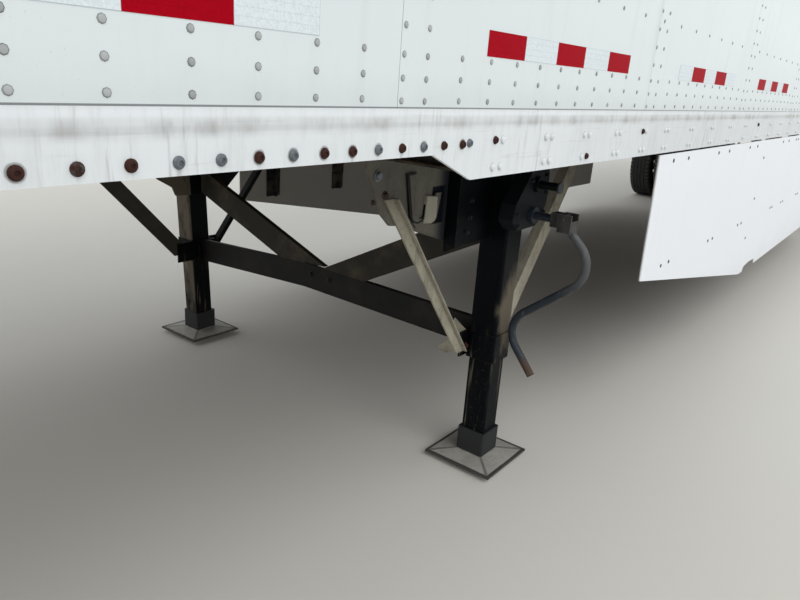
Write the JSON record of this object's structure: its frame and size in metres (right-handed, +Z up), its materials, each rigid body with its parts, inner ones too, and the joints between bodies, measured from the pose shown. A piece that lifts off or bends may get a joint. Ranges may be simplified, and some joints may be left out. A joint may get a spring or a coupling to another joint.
{
  "type": "semi trailer",
  "caption": "Enclosed box semi trailer with panelled walls, swinging rear doors, side skirts, dual wheel tandem axles and braced landing legs with a folding crank.",
  "frame": {"origin": "on the ground under the middle of the trailer's overall box", "axes": "+X towards the nose, +Y towards the road side with the crank, +Z up"},
  "size_m": [16.28, 2.609, 4.115],
  "materials": {
    "wall_white": "gloss white composite wall skin",
    "rail_white": "white painted aluminium, streaked with dirt",
    "galvanised": "weathered galvanised steel",
    "roof_metal": "mill aluminium sheet",
    "deck_wood": "laminated hardwood, worn",
    "beam_black": "black waxed steel",
    "leg_black": "black paint, worn and dusty",
    "coupler_steel": "greasy steel",
    "pin_steel": "bare forged steel",
    "shoe_steel": "weathered grey steel",
    "crank_steel": "worn black paint over steel",
    "skirt_white": "white skirt panel",
    "axle_black": "black painted axle",
    "rim_steel": "grey painted steel rim",
    "tyre": "matt tyre rubber",
    "door_white": "white door skin",
    "rubber": "black rubber",
    "lamp_red": "red lens",
    "connector_metal": "cast connector"
  },
  "bodies": {
    "trailer": {"side_wall_left": "wall_white", "side_wall_right": "wall_white", "wall_posts": "galvanised", "bottom_rails": "rail_white", "top_rails": "rail_white", "roof_sheet": "roof_metal", "roof_bows": "galvanised", "front_frame": "rail_white", "front_wall": "wall_white", "deck_boards": "deck_wood", "deck_beams": "beam_black", "coupler_frame": "beam_black", "coupler_plate": "coupler_steel", "kingpin": "pin_steel", "nose_connectors": "connector_metal", "leg_tube_left": "leg_black", "leg_tube_right": "leg_black", "leg_brace_left": "galvanised", "leg_brace_right": "leg_black", "cross_beam": "leg_black", "inner_legs": "leg_black", "sand_shoes": "shoe_steel", "leg_hangers": "galvanised", "knee_braces": "leg_black", "gear_housing": "crank_steel", "cross_shaft": "leg_black", "crank": "crank_steel", "side_skirt_left": "skirt_white", "side_skirt_right": "skirt_white", "skirt_struts": "beam_black", "air_tank": "beam_black", "bogie_frame": "beam_black", "leaf_springs": "beam_black", "axle_front": "axle_black", "axle_rear": "axle_black", "rear_frame": "galvanised", "hinge_lugs": "galvanised", "underride_guard": "galvanised", "dock_bumpers": "rubber", "lamps": "lamp_red", "mud_flaps": "rubber"},
    "wheels_front_left": {"wheel_front_left": "rim_steel", "tyres_front_left": "tyre"},
    "wheels_front_right": {"wheel_front_right": "rim_steel", "tyres_front_right": "tyre"},
    "wheels_rear_left": {"wheel_rear_left": "rim_steel", "tyres_rear_left": "tyre"},
    "wheels_rear_right": {"wheel_rear_right": "rim_steel", "tyres_rear_right": "tyre"},
    "door_left": {"door_left": "door_white", "door_hardware_left": "galvanised"},
    "door_right": {"door_right": "door_white", "door_hardware_right": "galvanised"}
  },
  "joints": [
    {"name": "wheels_front_left_spin", "type": "hinge", "parent": "trailer", "child": "wheels_front_left", "pos_m": [-3.506, 0.984, 0.505], "axis": [0, 1, 0], "continuous": true},
    {"name": "wheels_front_right_spin", "type": "hinge", "parent": "trailer", "child": "wheels_front_right", "pos_m": [-3.506, -0.984, 0.505], "axis": [0, 1, 0], "continuous": true},
    {"name": "wheels_rear_left_spin", "type": "hinge", "parent": "trailer", "child": "wheels_rear_left", "pos_m": [-4.751, 0.984, 0.505], "axis": [0, 1, 0], "continuous": true},
    {"name": "wheels_rear_right_spin", "type": "hinge", "parent": "trailer", "child": "wheels_rear_right", "pos_m": [-4.751, -0.984, 0.505], "axis": [0, 1, 0], "continuous": true},
    {"name": "door_left_hinge", "type": "hinge", "parent": "trailer", "child": "door_left", "pos_m": [-8.102, 1.2775, 2.6], "axis": [0, 0, -1], "range_deg": [0, 265]},
    {"name": "door_right_hinge", "type": "hinge", "parent": "trailer", "child": "door_right", "pos_m": [-8.102, -1.2775, 2.6], "axis": [0, 0, 1], "range_deg": [0, 265]}
  ]
}
